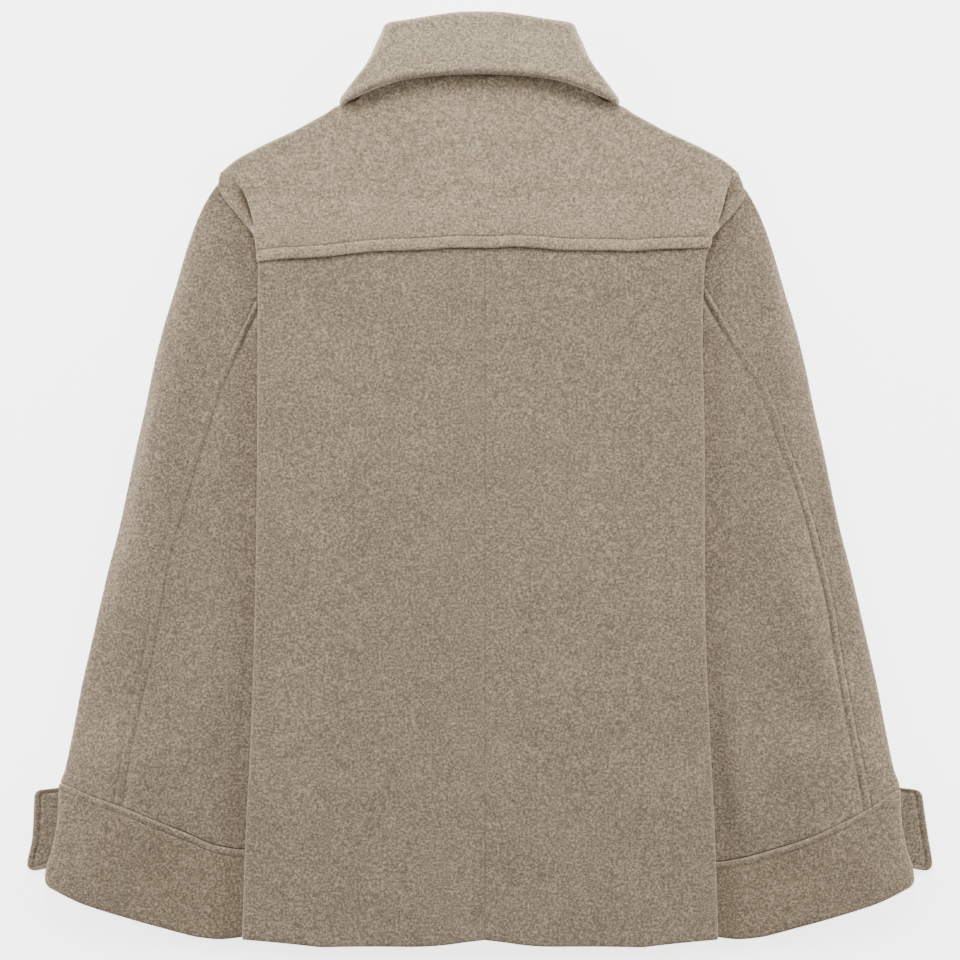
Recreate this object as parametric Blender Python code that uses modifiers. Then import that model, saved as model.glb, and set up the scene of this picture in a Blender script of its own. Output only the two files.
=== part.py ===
# Winter coat laid flat on its front, back up, with the collar towards +Y and the floor at z = 0.
# Lengths below are millimetres, and heights are those of the middle of each cloth wall.
import bpy
import bmesh
import numpy as np

# Driving sizes
MM = 0.001
CLOTH = 2.4
TWO_PLY = 4.4
CUFF_CLOTH = 3.6
TAB_CLOTH = 4.0
GAP = 0.3
PITCH = CLOTH + 2 * GAP
FLOOR_PLY = CLOTH / 2
SLEEVE_LOW = FLOOR_PLY
SLEEVE_HIGH = SLEEVE_LOW + PITCH
SIDE_LIFT = 2 * PITCH
CHANNEL_BACK = 7.5
NECK_LIFT = 4.4
OVER_LIFT = 2.7
PLACKET_LIFT = 3.0
LEFT_LAP_LIFT = 6.3
RIGHT_LAP_LIFT = 3.3
CUFF_LIFT = 2.1
TAB_LIFT = 4.3
SLEEVE_WIDTH = 190.0
SLEEVE_CROWN = 2.9
CUFF_WIDTH = 200.0
CUFF_CROWN = 1.7
CUFF_OUT = 348.7
CUFF_FOOT_OUT = 357.0
CUFF_FOOT_IN = 158.0
FRONT_SEAM = 0.72
YOKE_LAP = 14.0
LAP_STEP = CLOTH + GAP
FLAP = 18.0
LAP_HALF = 28.0
FRONT_HALF = 195.6
CENTRE_SEAM = 4.6
ARMHOLE_INSET = 19.0
HEM = -389.6
NECK_HALF = 104.0
INNER_FOOT = 151.0
EDGE_ROUND = 20.0
TUBE_RADIUS = 1.5
UNDERARM = 192.0
HANDS = {-1: "left", 1: "right"}
BUTTON_RADIUS = 12.5
BUTTON_HEIGHT = 3.0
BUTTON_ROUND = 0.8
BUTTON_PLACES = (200.0, 105.0, 10.0, -85.0, -180.0)
COLLAR_LOW = TWO_PLY / 2
COLLAR_RADIUS = 7.2
STAND_INSET = 4.9


def table(names, *rows):
    """Named columns of a short table of sizes."""
    return dict(zip(names.split(), np.array(rows, float).T))


# Half width of the body's side edge at each height up the back, the armhole seam above 204
BODY_SIDE = table("y half", (-390, 198.5), (-309, 196), (-225, 191.8), (-100, 187.5), (21, 186.4),
                  (125, 185.4), (180, 186), (192, 188), (204.5, 190), (210, 196), (219, 205),
                  (228, 212), (238, 217), (251, 214.6), (400, 214.6))
# Half width of the sleeve's and the cuff's outer edge
SLEEVE_OUT = table("y half", (-345, 356), (-339, 359.5), (-334, 362.6), (-325, 361.7), (-310, 357),
                   (-281, 351.8), (-257, 350.8), (-242, 345.8), (-209, 339.2), (-175, 332.9),
                   (-142, 325.4), (-109, 317.9), (-75, 310), (-42, 301.3), (-9, 294.2), (25, 287.1),
                   (58, 279.6), (91, 272.9), (125, 264.6), (158, 254.6), (191, 245), (208, 239.2),
                   (225, 232.1), (241, 222.9), (251, 214.6))
# Half width of the sleeve's hidden inner edge, and of the armhole seam above its underarm end
SLEEVE_IN = table("y half", (-372, 158), (-320, 151), (-300, 151), (-225, 140), (-100, 128),
                  (66, 112), (90, 126), (125, 148), (165, 170), (204.5, 185), (219, 200), (238, 212),
                  (251, 209), (400, 209))
# The armhole from the shoulder point to the underarm, by its share of the sleeve's width
ARMHOLE = table("share half y", (0, 214, 250), (0.1, 215, 238), (0.2, 209, 226), (0.32, 197, 213),
                (0.45, 184, 201), (0.6, 168, 165), (0.78, 144, 118), (1, 112, 66))
# The cuff's upper and lower edge and the hem, as heights at each half width
CUFF_TOP = table("half left right", (150, -303, -317), (197, -309, -319.3), (220, -305.4, -315.7),
                 (242, -296, -309.5), (270, -283.8, -299.7), (299, -271.6, -286.5),
                 (325, -262.9, -272.8), (346, -254, -259.5), (356, -252, -256))
CUFF_HEM = table("half y", (150, -369), (175, -377), (200, -382.3), (216, -383.8), (233, -382.1),
                 (250, -377.9), (266, -372.9), (283, -367.9), (300, -362.9), (316, -357.9),
                 (333, -352.1), (350, -344.2), (362, -338))
BODY_HEM = table("half y", (0, -383.8), (16, -385.6), (33, -387.9), (50, -389.2), (66, HEM),
                 (133, HEM), (150, -387.9), (166, -386.2), (183, -384.6), (200, -383))
# The sleeve's back seam, as half widths at each height
BACK_SEAM = table("y left right", (-330, 306, 329), (-255, 295, 316.4), (-215, 288.3, 308.4),
                  (-184, 282, 302.5), (-152, 274, 296.6), (-113, 267.5, 290.7), (-70, 260, 281),
                  (-18, 245.6, 267), (25, 232.5, 251.5), (72, 217, 235.5), (110, 199.5, 211.8),
                  (150, 181, 188), (185, 166, 172), (230, 150, 152))
# The yoke's lower edge across the back, from the wearer's left to the right
YOKE_SEAM = table("x y", (-200, 179), (-165, 183.3), (-137, 184.6), (-109, 187.6), (-66, 190.4),
                  (-24, 192.5), (47, 192.6), (104, 190.4), (146, 191.3), (200, 192.6))
# The shoulder line, the back neckline and the front neckline
SHOULDER = table("half y", (NECK_HALF, 309.8), (118.8, 309.6), (127, 304.6), (137, 299.6),
                 (152, 291.3), (187, 274.6), (213, 257.9), (216, 250))
BACK_NECK = table("half y", (0, 351), (40, 350), (70, 342), (90, 328), (NECK_HALF, 309.8))
FRONT_NECK = table("half y", (0, 236), (28, 238), (50, 246), (75, 262), (92, 283),
                   (NECK_HALF, 309.8))
# The collar's fold and its fall's lower edge at the back, by half width
COLLAR_FOLD = table("half y", (0, 389.6), (15, 389.2), (35, 386.8), (60, 382.4), (79, 377))
COLLAR_EDGE = table("half y", (0, 338.6), (32, 337), (62, 332.9), (92, 323), (108, 314.8),
                    (117.5, 311))
# The collar's side from the fold to the lower edge, by its share of the fall's depth
COLLAR_SIDE = table("share half y", (0, 79, 377), (0.2, 84.6, 366.3), (0.4, 90.4, 353.4),
                    (0.58, 97.5, 340.4), (0.78, 108.8, 326.3), (0.9, 115, 318.2), (1, 117.5, 311))
# The collar's front end, from the fold at the centre front to the collar point
COLLAR_END = table("share half y", (0, 32, 270), (1, 70, 213))
# Outline of a cuff strap, from its hidden end round its free end
TAB_OUTLINE = table("half y", (300, -257), (368, -259), (371.5, -262), (375, -296), (378.6, -318),
                    (378, -323), (374, -326.5), (360, -322.5), (300, -322.5))


def read(tab, column, at, by="y"):
    """A table's column, read straight between its rows."""
    order = np.argsort(tab[by])
    return np.interp(at, tab[by][order], tab[column][order])


def smooth(t):
    """0 below 0, 1 above 1, and a soft rise between."""
    t = np.clip(t, 0, 1)
    return t * t * (3 - 2 * t)


def over_sleeve(half, y, width):
    """1 where the sleeve lies below the body, falling to 0 over this width towards the middle."""
    full = read(SLEEVE_IN, "half", y) - 9
    return smooth((half - full + width) / width)


def over_cuff(half, y):
    """1 where the body lies over a cuff."""
    return smooth((-225 - y) / 50) * over_sleeve(half, y, 50)


def front_height(x, y, side):
    """Height of a front: on the floor, up over the sleeves, the collar and the lapped centre."""
    half = np.abs(x)
    collar = smooth((y - 150) / 40) * smooth((half - 26) / 24)
    raised = SIDE_LIFT * (1 - (1 - over_sleeve(half, y, 30)) * (1 - collar))
    if side < 0:
        lapped = LEFT_LAP_LIFT * smooth((64 - side * x) / 26)
    else:
        lapped = RIGHT_LAP_LIFT * smooth((54 - side * x) / 26)
    return FLOOR_PLY + np.maximum(raised, lapped) + CUFF_LIFT * over_cuff(half, y)


def back_height(x, y):
    """Height of the back: level over the sleeves, the lapped centre and the collar."""
    half = np.abs(x)
    sides = OVER_LIFT * over_sleeve(half, y, 62)
    centre = PLACKET_LIFT * smooth((84 - half) / 44) * smooth((280 - y) / 30)
    top = OVER_LIFT * smooth((y - 105) / 75) * smooth((half - 10) / 40)
    rise = (sides ** 4 + centre ** 4 + top ** 4 + 1e-6) ** 0.25
    neck = NECK_LIFT * smooth((y - 212) / 42)
    return CHANNEL_BACK + np.maximum(rise, neck) + CUFF_LIFT * over_cuff(half, y)


def tab_rise(half, y):
    """Lift of the sleeve and cuff where the strap lies below their outer edge."""
    outer = read(SLEEVE_OUT, "half", y)
    return TAB_LIFT * smooth((half - outer + 112) / 40) * smooth((-190 - y) / 52)


def mesh_object(name, grid, thickness, colour, closed=False):
    """A grid of points, rows by columns, as an open surface with the cloth's thickness about it."""
    rows, columns = grid.shape[:2]
    mesh = bpy.data.meshes.new(name)
    built = bmesh.new()
    verts = [built.verts.new(point) for point in (grid.reshape(-1, 3) * MM).tolist()]
    for row in range(rows - 1):
        for column in range(columns if closed else columns - 1):
            after = (column + 1) % columns
            corners = (row * columns + column, row * columns + after,
                       (row + 1) * columns + after, (row + 1) * columns + column)
            built.faces.new([verts[i] for i in corners])
    bmesh.ops.recalc_face_normals(built, faces=built.faces)
    built.to_mesh(mesh)
    built.free()
    thing = bpy.data.objects.new(name, mesh)
    coat.objects.link(thing)
    wall = thing.modifiers.new("cloth", "SOLIDIFY")
    wall.thickness = thickness * MM
    wall.offset = 0
    mesh.materials.append(plain_material(name, colour, WOOL_ROUGHNESS))
    mesh.shade_smooth()


def plain_material(name, colour, roughness):
    """An object's own plain material."""
    material = bpy.data.materials.new(name)
    material.use_nodes = True
    shader = material.node_tree.nodes["Principled BSDF"]
    shader.inputs["Base Color"].default_value = (*colour, 1)
    shader.inputs["Roughness"].default_value = roughness
    return material


def stack(x, y, z):
    """Three arrays as one grid of points."""
    return np.stack(np.broadcast_arrays(x, y, z), axis=-1).astype(float)


def make_back(name, side):
    """Half the back: centre seam to side edge, rolled round it and turned under to the side seam."""
    share = np.array([0, 0.14, 0.28, 0.42, 0.52, 0.62, 0.72, 0.86, 1.0])
    rows = np.array([0, 0.04, 0.12, 0.22, 0.34, 0.5, 0.66, 0.8, 0.9, 0.96, 1.0])
    foot = read(BODY_HEM, "y", share * 198, "half")
    top = read(YOKE_SEAM, "y", side * share * 185, "x") + YOKE_LAP
    y = foot + (top - foot) * rows[:, None]
    edge = read(BODY_SIDE, "half", np.minimum(y, UNDERARM)) - FLOOR_PLY
    upper = back_height(edge, y)
    lower = front_height(edge, y, 1)
    radius = (upper - lower) / 2
    centre = side * CENTRE_SEAM + GAP
    half = centre + (edge - radius - centre) * share
    z = back_height(half, y)
    turn = np.radians([36, 72, 108, 144, 180])
    last = radius[:, -1:]
    roll_half = edge[:, -1:] - last + last * np.sin(turn)
    roll_z = (upper[:, -1:] + lower[:, -1:]) / 2 + last * np.cos(turn)
    flap_half = edge[:, -1:] - np.array([[FLAP * 0.55, FLAP]])
    flap_z = front_height(flap_half, y[:, -1:], 1)
    half = np.hstack([half, roll_half, flap_half])
    z = np.hstack([z, roll_z, flap_z])
    y = np.hstack([y, y[:, -1:] + 0 * roll_half, y[:, -1:] + 0 * flap_half])
    mesh_object(name, stack(side * half, y, z), CLOTH, BACK_TONE)


def make_yoke():
    """The yoke: from its lapped lower edge up to the shoulders and the back of the neck."""
    half_share = np.array([0.1, 0.19, 0.28, 0.35, 0.41, 0.45, 0.486, 0.53, 0.6, 0.68, 0.76, 0.84,
                           0.92, 1.0])
    share = np.concatenate([-half_share[::-1], [0], half_share])
    rise = np.array([0, 6, YOKE_LAP, YOKE_LAP + 3, YOKE_LAP + 11, YOKE_LAP + 19])
    half_top = np.abs(213.5 * share)
    top = np.where(half_top < NECK_HALF, read(BACK_NECK, "y", half_top, "half"),
                   read(SHOULDER, "y", half_top, "half") - FLOOR_PLY)
    seam = read(YOKE_SEAM, "y", 187 * share, "x")
    above = np.linspace(0, 1, 7)[1:, None]
    low = seam + rise[:, None]
    y = np.vstack([low, low[-1] + (top - low[-1]) * above])
    edge = read(BODY_SIDE, "half", y) - 0.2
    x = share * edge
    from_seam = y - seam
    step = LAP_STEP * (1 - smooth((from_seam - YOKE_LAP - 3) / 16))
    z = back_height(x, y) + step
    dip = smooth((y - 212) / 10) * smooth((np.abs(x) - edge + 13) / 11) * smooth((262 - y) / 14)
    z = z - (z - SLEEVE_HIGH - LAP_STEP) * dip
    mesh_object("yoke", stack(x, y, z), CLOTH, YOKE_TONE)


def make_front(name, side):
    """A front: from its lapped edge to the side seam and armhole, up to shoulder and neckline."""
    share = np.array([0, 0.13, 0.24, 0.29, 0.33, 0.36, 0.4, 0.44, 0.48, 0.52, 0.56, 0.6, 0.67, 0.74,
                      0.82, 0.91, 1.0])
    rows = np.array([0, 0.04, 0.12, 0.22, 0.34, 0.46, 0.56, 0.62, 0.67, 0.72, 0.77, 0.82, 0.87, 0.91,
                     0.95, 1.0])
    across = -LAP_HALF + (FRONT_HALF + LAP_HALF) * share
    neck = read(FRONT_NECK, "y", np.maximum(across, 0), "half")
    top = np.where(across < NECK_HALF, neck, read(SHOULDER, "y", across, "half") - FLOOR_PLY)
    foot = read(BODY_HEM, "y", np.abs(across), "half") + 0.6
    y = foot + (top - foot) * rows[:, None]
    seam = read(BODY_SIDE, "half", np.minimum(y, UNDERARM)) - FLOOR_PLY - FLAP - 3 * GAP
    armhole = read(BODY_SIDE, "half", y) - ARMHOLE_INSET
    edge = seam + (armhole - seam) * smooth((y - 222) / 20)
    half = -LAP_HALF + (edge + LAP_HALF) * share
    x = side * half
    mesh_object(name, stack(x, y, front_height(x, y, side)), CLOTH, BACK_TONE)


def patch(share, down, top, foot, outer, inner):
    """A four-sided patch of (half width, y) points, blended from its four edges."""
    s, d = share[..., None], down[..., None]
    zero, one = np.zeros(1), np.ones(1)
    return ((1 - d) * top(share) + d * foot(share) + (1 - s) * outer(down) + s * inner(down)
            - (1 - s) * (1 - d) * top(zero) - s * (1 - d) * top(one)
            - (1 - s) * d * foot(zero) - s * d * foot(one))


def points(half, y):
    """Half widths and heights as one array of plan points."""
    return np.stack(np.broadcast_arrays(half, y), axis=-1)


def sleeve_plan(share, down, hand):
    """Plan of a sleeve: share 0 at its outer edge and 1 at its hidden inner edge, down 0 to 1."""
    def top(part):
        return points(read(ARMHOLE, "half", part, "share"), read(ARMHOLE, "y", part, "share"))

    def foot(part):
        half = CUFF_OUT + (INNER_FOOT - CUFF_OUT) * part
        return points(half, read(CUFF_TOP, hand, half, "half") + 4 * GAP)

    def outer(way):
        start = ARMHOLE["y"][0]
        y = start + (foot(np.zeros(1))[0, 1] - start) * way
        return points(read(SLEEVE_OUT, "half", y) - FLOOR_PLY, y)

    def inner(way):
        start = ARMHOLE["y"][-1]
        y = start + (foot(np.ones(1))[0, 1] - start) * way
        return points(read(SLEEVE_IN, "half", y), y)
    return patch(share, down, top, foot, outer, inner)


def cuff_plan(share, down, hand):
    """Plan of a cuff: share 0 at its outer edge and 1 at its hidden inner edge, down 0 to 1."""
    def top(part):
        half = CUFF_OUT + (INNER_FOOT - CUFF_OUT) * part
        return points(half, read(CUFF_TOP, hand, half, "half"))

    def foot(part):
        half = CUFF_FOOT_OUT + (CUFF_FOOT_IN - CUFF_FOOT_OUT) * part
        return points(half, read(CUFF_HEM, "y", half, "half") + 0.2)

    def outer(way):
        start, end = top(np.zeros(1))[0, 1], foot(np.zeros(1))[0, 1]
        y = start + (end - start) * way
        return points(read(SLEEVE_OUT, "half", y) - CUFF_CLOTH / 2, y)

    def inner(way):
        start, end = top(np.ones(1))[0], foot(np.ones(1))[0]
        return start + (end - start) * way[..., None]
    return patch(share, down, top, foot, outer, inner)


def tube_heights(share, half, y, width, low, high, crown):
    """Heights of a flattened tube's upper and lower walls, rounded at its outer and inner edges."""
    radius = (high - low) / 2
    middle = low + radius
    body = read(BODY_SIDE, "half", y)
    swell = crown * smooth((half - body - 2) / 28)
    from_out = share * width
    from_in = (1 - share) * width
    wide = np.sqrt(np.clip(1 - (1 - np.clip(from_out / EDGE_ROUND, 0, 1)) ** 2, 0, 1))
    tight = np.sqrt(np.clip(1 - (1 - np.clip(from_in / radius, 0, 1)) ** 2, 0, 1))
    under = np.sqrt(np.clip(1 - (1 - np.clip(from_out / radius, 0, 1)) ** 2, 0, 1))
    upper = middle + (radius + swell) * np.minimum(wide, tight)
    lower = middle - radius * np.minimum(under, tight)
    lift = tab_rise(half, y)
    return upper + lift, lower + lift


def tube_wall(plan, share, down, side, upper, sizes):
    """A grid of points on the upper or lower side of a flattened tube, for arrays of shares."""
    hand = HANDS[side]
    share = share + 0 * down
    place = plan(share, down, hand)
    width = np.linalg.norm(plan(0 * down, down, hand) - plan(0 * down + 1, down, hand), axis=-1)
    heights = tube_heights(share, place[..., 0], place[..., 1], width, *sizes)
    return stack(side * place[..., 0], place[..., 1], heights[0] if upper else heights[1])


def round_shares(width):
    """Shares that step finely round a tube's outer edge: on its lower side, then its upper side."""
    under = (1 - np.cos(np.radians([25, 55, 90]))) * TUBE_RADIUS / width
    over = (1 - np.cos(np.radians([18, 38, 60, 90]))) * EDGE_ROUND / width
    return under, over


def inner_shares(width):
    """Shares that step round a tube's inner edge."""
    return 1 - (1 - np.cos(np.radians([90, 50, 20]))) * TUBE_RADIUS / width


def seam_shares(hand, down):
    """For each station down the sleeve, the share of its width at which the back seam lies."""
    tries = np.linspace(0.02, 0.98, 193)
    place = sleeve_plan(np.broadcast_to(tries, (len(down), len(tries))), down, hand)
    miss = place[..., 0] - read(BACK_SEAM, hand, place[..., 1])
    after = np.clip(np.argmax(miss < 0, axis=1), 1, len(tries) - 1)
    row = np.arange(len(down))
    first, second = miss[row, after - 1], miss[row, after]
    part = np.clip(first / np.where(first == second, 1, first - second), 0, 1)
    return (tries[after - 1] + (tries[after] - tries[after - 1]) * part)[:, None]


def make_sleeve(side):
    """A sleeve's two panels, joined at the back seam above and at the front seam below."""
    hand = HANDS[side]
    down = np.array([0, 0.05, 0.12, 0.22, 0.34, 0.46, 0.58, 0.7, 0.8, 0.87, 0.94, 1.0])[:, None]
    seam = seam_shares(hand, down)
    sizes = (SLEEVE_LOW, SLEEVE_HIGH, SLEEVE_CROWN)
    under, over = round_shares(SLEEVE_WIDTH)
    turn = inner_shares(SLEEVE_WIDTH)
    gap = 0.75 * GAP / SLEEVE_WIDTH
    share = np.concatenate([np.linspace(FRONT_SEAM, 0.06, 9), under[::-1], [0.0]])
    below = tube_wall(sleeve_plan, share, down, side, False, sizes)
    share = np.hstack([over + 0 * down, over[-1] + (seam - gap - over[-1]) * np.linspace(0, 1, 6)[1:]])
    above = tube_wall(sleeve_plan, share, down, side, True, sizes)
    mesh_object(f"sleeve_top_{hand}", np.hstack([below, above]), CLOTH, SLEEVE_TONE)
    share = np.hstack([seam + gap + (turn[0] - seam - gap) * np.linspace(0, 1, 8)[:-1],
                       turn + 0 * down, 1 + 0 * down])
    above = tube_wall(sleeve_plan, share, down, side, True, sizes)
    share = np.concatenate([turn[::-1], [0.9, FRONT_SEAM + 2 * gap]])
    below = tube_wall(sleeve_plan, share, down, side, False, sizes)
    mesh_object(f"sleeve_under_{hand}", np.hstack([above, below]), CLOTH, SLEEVE_TONE)


def make_cuff(side):
    """A cuff: a flattened ring of doubled cloth, sewn to the sleeve's end edge to edge."""
    down = np.linspace(0, 1, 5)[:, None]
    low = CUFF_CLOTH / 2
    sizes = (low, low + CUFF_CLOTH + 2 * GAP, CUFF_CROWN)
    under, over = round_shares(CUFF_WIDTH)
    turn = inner_shares(CUFF_WIDTH) - 0.003
    share = np.concatenate([over, np.linspace(over[-1], turn[0], 10)[1:-1], turn, [1.0]])
    above = tube_wall(cuff_plan, share, down, side, True, sizes)
    share = np.concatenate([turn[::-1], np.linspace(turn[0], 0.06, 10)[1:], under[::-1] * 1.4, [0.0]])
    below = tube_wall(cuff_plan, share, down, side, False, sizes)
    mesh_object(f"cuff_{HANDS[side]}", np.hstack([above, below]), CUFF_CLOTH, CUFF_TONE, True)


def make_tab(side):
    """A strap of doubled cloth that lies below the cuff, with its end out past the cuff's edge."""
    name = f"cuff_tab_{HANDS[side]}"
    outline = bpy.data.curves.new(name, "CURVE")
    outline.dimensions = "2D"
    outline.fill_mode = "BOTH"
    outline.extrude = TAB_CLOTH / 2 * MM
    spline = outline.splines.new("POLY")
    half, y = TAB_OUTLINE["half"], TAB_OUTLINE["y"]
    spline.points.add(len(half) - 1)
    for point, place in zip(spline.points, zip(side * half * MM, y * MM)):
        point.co = (*place, 0, 1)
    spline.use_cyclic_u = True
    outline.materials.append(plain_material(name, CUFF_TONE, WOOL_ROUGHNESS))
    strap = bpy.data.objects.new(name, outline)
    strap.location.z = TAB_CLOTH / 2 * MM
    coat.objects.link(strap)


def collar_wall(depth, inset, kind, part):
    """Points of one stretch of the collar: its front wall, its neck side or its back wall.

    depth is 0 at the fold and 1 at the fall's lower edge, and inset is how far inside the fall."""
    side_half = read(COLLAR_SIDE, "half", depth, "share") - COLLAR_LOW
    side_y = read(COLLAR_SIDE, "y", depth, "share")
    end_half = read(COLLAR_END, "half", depth, "share")
    end_y = read(COLLAR_END, "y", depth, "share")
    centre = COLLAR_LOW + COLLAR_RADIUS
    radius = COLLAR_RADIUS - inset
    bend = side_half - COLLAR_RADIUS
    if kind == "front":
        return stack(end_half + (bend - end_half) * part, end_y + (side_y - end_y) * part,
                     centre - radius + 0 * part)
    if kind == "side":
        angle = np.radians(180) * part
        return stack(bend + radius * np.sin(angle), side_y, centre - radius * np.cos(angle))
    ratio = 1 - part
    fold = read(COLLAR_FOLD, "y", COLLAR_SIDE["half"][0] * ratio, "half") - COLLAR_SIDE["y"][0]
    edge = read(COLLAR_EDGE, "y", COLLAR_SIDE["half"][-1] * ratio, "half") - COLLAR_SIDE["y"][-1]
    return stack(bend * ratio, side_y + fold * (1 - depth) + edge * depth, centre + radius + 0 * ratio)


def collar_ring(depths, inset, steps=5):
    """The collar's points for rows of depths, from one front end round the neck to the other."""
    walls = (("front", np.linspace(0, 1, steps)[:-1]), ("side", np.linspace(0, 1, 7)),
             ("back", np.linspace(0, 1, steps + 1)[1:]))
    half = np.hstack([collar_wall(depths, inset, kind, part) for kind, part in walls])
    return np.hstack([half * np.array([-1, 1, 1]), half[:, -2::-1]])


def make_collar():
    """The fall with its roll at the fold, and the stand inside it down to the neck seam."""
    lift = STAND_INSET / 2
    turns = np.radians([180, 144, 108, 72, 36])[:, None]
    tail = collar_ring(np.array([[0.06]]), STAND_INSET)
    roll = collar_ring(0 * turns, lift * (1 - np.cos(turns)))
    roll[..., 1] += lift * np.sin(turns)
    fall = collar_ring(np.linspace(0, 1, 6)[:, None], 0)
    grid = np.concatenate([tail, roll, fall])
    fade = np.clip(1 - (np.arange(len(grid)) - 6) / 5, 0, 1)[:, None]
    grid[..., 1] -= (lift + TWO_PLY / 2) * fade
    mesh_object("collar_fall", grid, TWO_PLY, COLLAR_TONE)
    make_stand(lift + TWO_PLY / 2)


def make_stand(drop):
    """The stand: a ring inside the fall, from below its roll down to the seam round the neck."""
    depths = np.linspace(0.12, 1.1, 99)[:, None]
    ring = collar_ring(depths, STAND_INSET, 10)
    low = COLLAR_LOW + STAND_INSET
    share = (ring[..., 2] - low) / (2 * (COLLAR_RADIUS - STAND_INSET))
    inside = np.minimum(np.abs(ring[..., 0]), NECK_HALF)
    front = read(FRONT_NECK, "y", inside, "half")
    seam = front + (read(BACK_NECK, "y", inside, "half") - front) * share + 8 * GAP
    below = ring[..., 1] < seam
    foot = np.where(below.any(axis=0), np.argmax(below, axis=0) - 1, len(depths) - 1)
    rows = np.linspace(0, 1, 5)[:, None]
    grid = ring[np.round(foot * rows).astype(int), np.arange(ring.shape[1])]
    grid[..., 1] -= (drop + 2) * (1 - rows)
    mesh_object("collar_stand", grid, CLOTH, COLLAR_TONE)


def make_buttons():
    """Plain round buttons on the hidden front, their rims rounded."""
    for number, y in enumerate(BUTTON_PLACES, 1):
        name = f"front_button_{number}"
        mesh = bpy.data.meshes.new(name)
        disc = bmesh.new()
        bmesh.ops.create_cone(disc, cap_ends=True, segments=24, radius1=BUTTON_RADIUS * MM,
                              radius2=BUTTON_RADIUS * MM, depth=BUTTON_HEIGHT * MM)
        bmesh.ops.translate(disc, verts=disc.verts, vec=(0, y * MM, BUTTON_HEIGHT / 2 * MM))
        disc.to_mesh(mesh)
        disc.free()
        mesh.materials.append(plain_material(name, HORN, HORN_ROUGHNESS))
        button = bpy.data.objects.new(name, mesh)
        coat.objects.link(button)
        rim = button.modifiers.new("rim", "BEVEL")
        rim.width = BUTTON_ROUND * MM
        rim.segments = 2
        rim.limit_method = "ANGLE"
        mesh.shade_smooth()
        mesh.set_sharp_from_angle(angle=np.radians(35))


# Colours of the mottled wool, darker where it lies lower, and of the horn buttons
YOKE_TONE = (0.402, 0.337, 0.266)
BACK_TONE = (0.323, 0.263, 0.202)
SLEEVE_TONE = (0.314, 0.254, 0.195)
CUFF_TONE = (0.283, 0.231, 0.175)
COLLAR_TONE = (0.440, 0.366, 0.292)
HORN = (0.09, 0.06, 0.04)
WOOL_ROUGHNESS = 0.95
HORN_ROUGHNESS = 0.35

for old in list(bpy.data.objects):
    bpy.data.objects.remove(old)
coat = bpy.data.collections.new("winter_coat")
bpy.context.scene.collection.children.link(coat)
make_yoke()
make_buttons()
make_collar()
for side, hand in HANDS.items():
    make_back(f"back_{hand}", side)
    make_front(f"front_{hand}", side)
    make_sleeve(side)
    make_cuff(side)
    make_tab(side)
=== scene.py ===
import bmesh
import bpy
import numpy as np
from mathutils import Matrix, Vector


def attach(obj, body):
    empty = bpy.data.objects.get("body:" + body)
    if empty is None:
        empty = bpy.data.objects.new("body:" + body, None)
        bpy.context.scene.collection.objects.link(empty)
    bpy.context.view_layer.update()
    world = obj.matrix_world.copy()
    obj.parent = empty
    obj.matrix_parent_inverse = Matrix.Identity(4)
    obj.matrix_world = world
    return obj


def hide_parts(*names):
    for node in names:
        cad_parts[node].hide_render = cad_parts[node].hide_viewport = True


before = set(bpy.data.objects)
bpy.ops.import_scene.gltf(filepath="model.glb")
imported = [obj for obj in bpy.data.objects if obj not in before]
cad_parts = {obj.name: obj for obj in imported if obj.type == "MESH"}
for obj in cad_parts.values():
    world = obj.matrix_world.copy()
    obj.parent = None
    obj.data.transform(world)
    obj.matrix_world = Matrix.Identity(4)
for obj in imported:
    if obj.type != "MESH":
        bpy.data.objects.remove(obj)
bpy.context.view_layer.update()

# The coat lies flat on its front, back up, collar towards +Y. Lengths here are millimetres, and
# heights are those of the middle of each cloth wall, as in the solids that the pieces replace.
MM = 0.001
CLOTH = 2.4
TWO_PLY = 4.4
CUFF_CLOTH = 3.6
TAB_CLOTH = 4.0
GAP = 0.3
LOW_WALL = 3.4
FLOOR_PLY = CLOTH / 2
PITCH = CLOTH + 2 * GAP
SLEEVE_LOW = FLOOR_PLY
SLEEVE_HIGH = SLEEVE_LOW + PITCH
SLEEVE_WIDTH = 190.0
SIDE_LIFT = 2 * PITCH
CHANNEL_BACK = 7.5
SLEEVE_CROWN = 7.5
CUFF_CROWN = 6.2
CUFF_LIFT = 2.1
TAB_LIFT = 4.3
YOKE_LAP = 14.0
TIP_HALF = 215.0
TIP_Y = 254.0
TIP_REACH = 28.0
TIP_FALL = 4.5
LAP_STEP = CLOTH + GAP
FLAP = 18.0
LAP_HALF = 28.0
HEM = -389.6
HEM_HALF = 198.0
BACK_HALF = 185.0
BACK_FLAT = 181.0
BACK_RUN = 575.0
YOKE_HALF = 187.0
SHOULDER_HALF = 214.0
FRONT_HALF = 195.6
FRONT_RUN = 650.0
SIDE_TOP = 192.0
SLEEVE_RUN = 520.0
SLEEVE_OUT_TOP = 250.0
SLEEVE_IN_TOP = 66.0
FRONT_SEAM = 0.72
NECK_HALF = 104.0
INNER_FOOT = 151.0
CUFF_OUT = 348.7
CUFF_FOOT_OUT = 357.0
CUFF_FOOT_IN = 158.0
CUFF_RUN = 90.0
CUFF_WIDTH = 200.0
CUFF_ROLL = 2.1
EDGE_ROUND = 40.0
EDGE_FINE = 14.0
CENTRE_SEAM = 4.6
COLLAR_LOW = TWO_PLY / 2
COLLAR_RADIUS = 7.2
STAND_INSET = 4.9
BUTTON_RADIUS = 12.5
BUTTON_HEIGHT = 3.0
BUTTON_PLACES = (200.0, 105.0, 10.0, -85.0, -180.0)
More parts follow.
